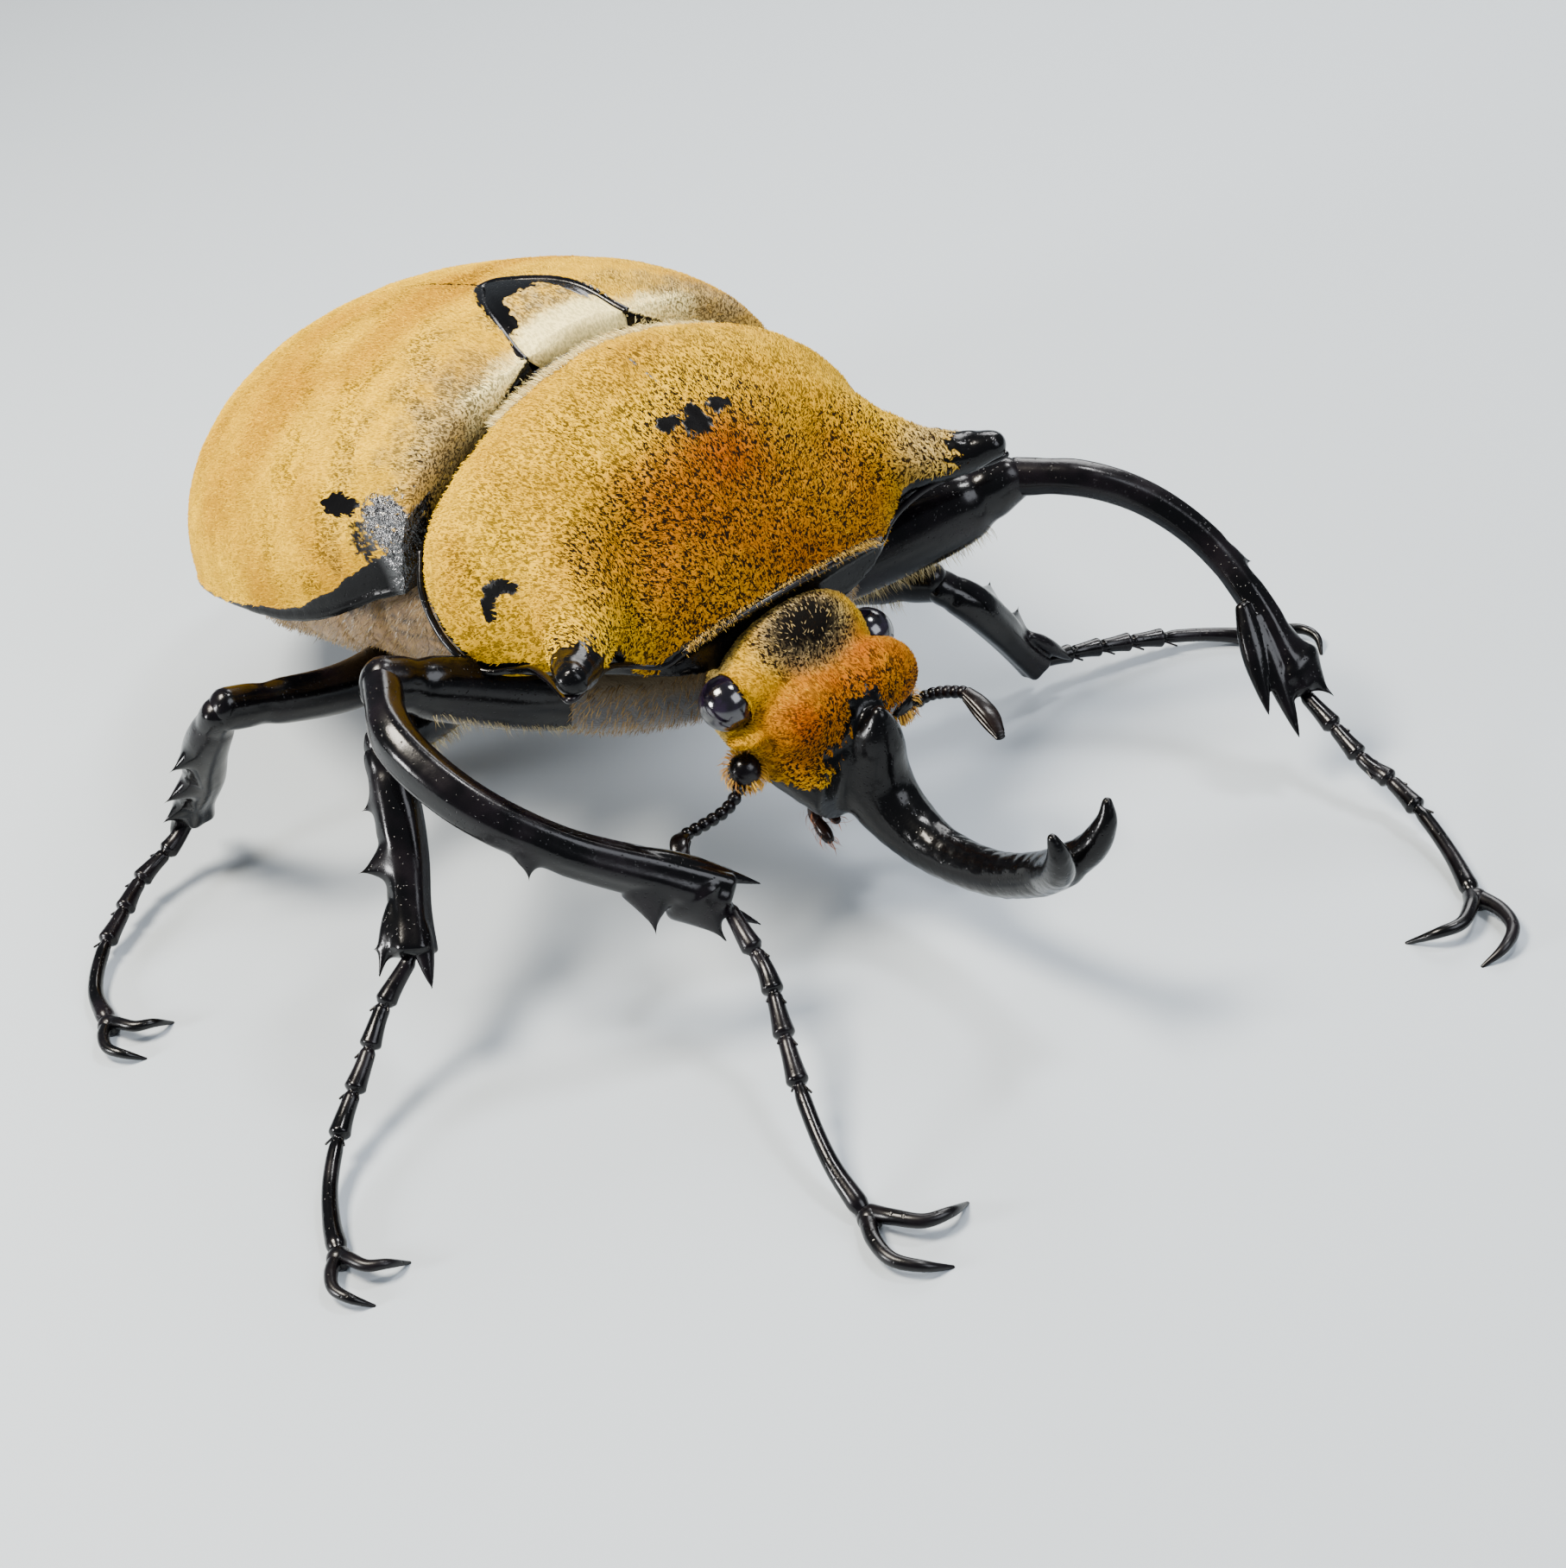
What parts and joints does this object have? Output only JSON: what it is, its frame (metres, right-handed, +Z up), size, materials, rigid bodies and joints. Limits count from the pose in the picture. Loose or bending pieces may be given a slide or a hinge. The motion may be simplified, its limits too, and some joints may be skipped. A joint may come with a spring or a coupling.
{
  "type": "male elephant beetle figure",
  "caption": "Life-size standing elephant beetle with a velvety golden back, forked head horn and toothed black legs.",
  "frame": {"origin": "on the floor under the middle of the bounding box", "axes": "+X to the beetle's left, -Y the way it faces, +Z up"},
  "size_m": [0.112, 0.1271, 0.046],
  "materials": {
    "velvet": "short golden pile",
    "cuticle": "polished black",
    "hairy_underside": "tan, downy",
    "eye": "glossy violet-black",
    "club": "brown-black"
  },
  "bodies": {
    "root": {"abdomen": "hairy_underside", "antenna_club_left": "club", "antenna_club_right": "club", "antenna_left": "cuticle", "antenna_right": "cuticle", "elytron_left": "velvet", "elytron_right": "velvet", "eye_left": "eye", "eye_right": "eye", "fore_breast": "hairy_underside", "fore_left_claws": "cuticle", "fore_left_femur": "cuticle", "fore_left_tarsus": "cuticle", "fore_left_tibia": "cuticle", "fore_right_claws": "cuticle", "fore_right_femur": "cuticle", "fore_right_tarsus": "cuticle", "fore_right_tibia": "cuticle", "head": "velvet", "head_horn": "cuticle", "hind_breast": "hairy_underside", "hind_left_claws": "cuticle", "hind_left_femur": "cuticle", "hind_left_tarsus": "cuticle", "hind_left_tibia": "cuticle", "hind_right_claws": "cuticle", "hind_right_femur": "cuticle", "hind_right_tarsus": "cuticle", "hind_right_tibia": "cuticle", "mid_left_claws": "cuticle", "mid_left_femur": "cuticle", "mid_left_tarsus": "cuticle", "mid_left_tibia": "cuticle", "mid_right_claws": "cuticle", "mid_right_femur": "cuticle", "mid_right_tarsus": "cuticle", "mid_right_tibia": "cuticle", "mouthparts": "cuticle", "pronotum": "velvet", "pronotum_horn_left": "cuticle", "pronotum_horn_right": "cuticle", "scutellum": "velvet"}
  },
  "joints": []
}
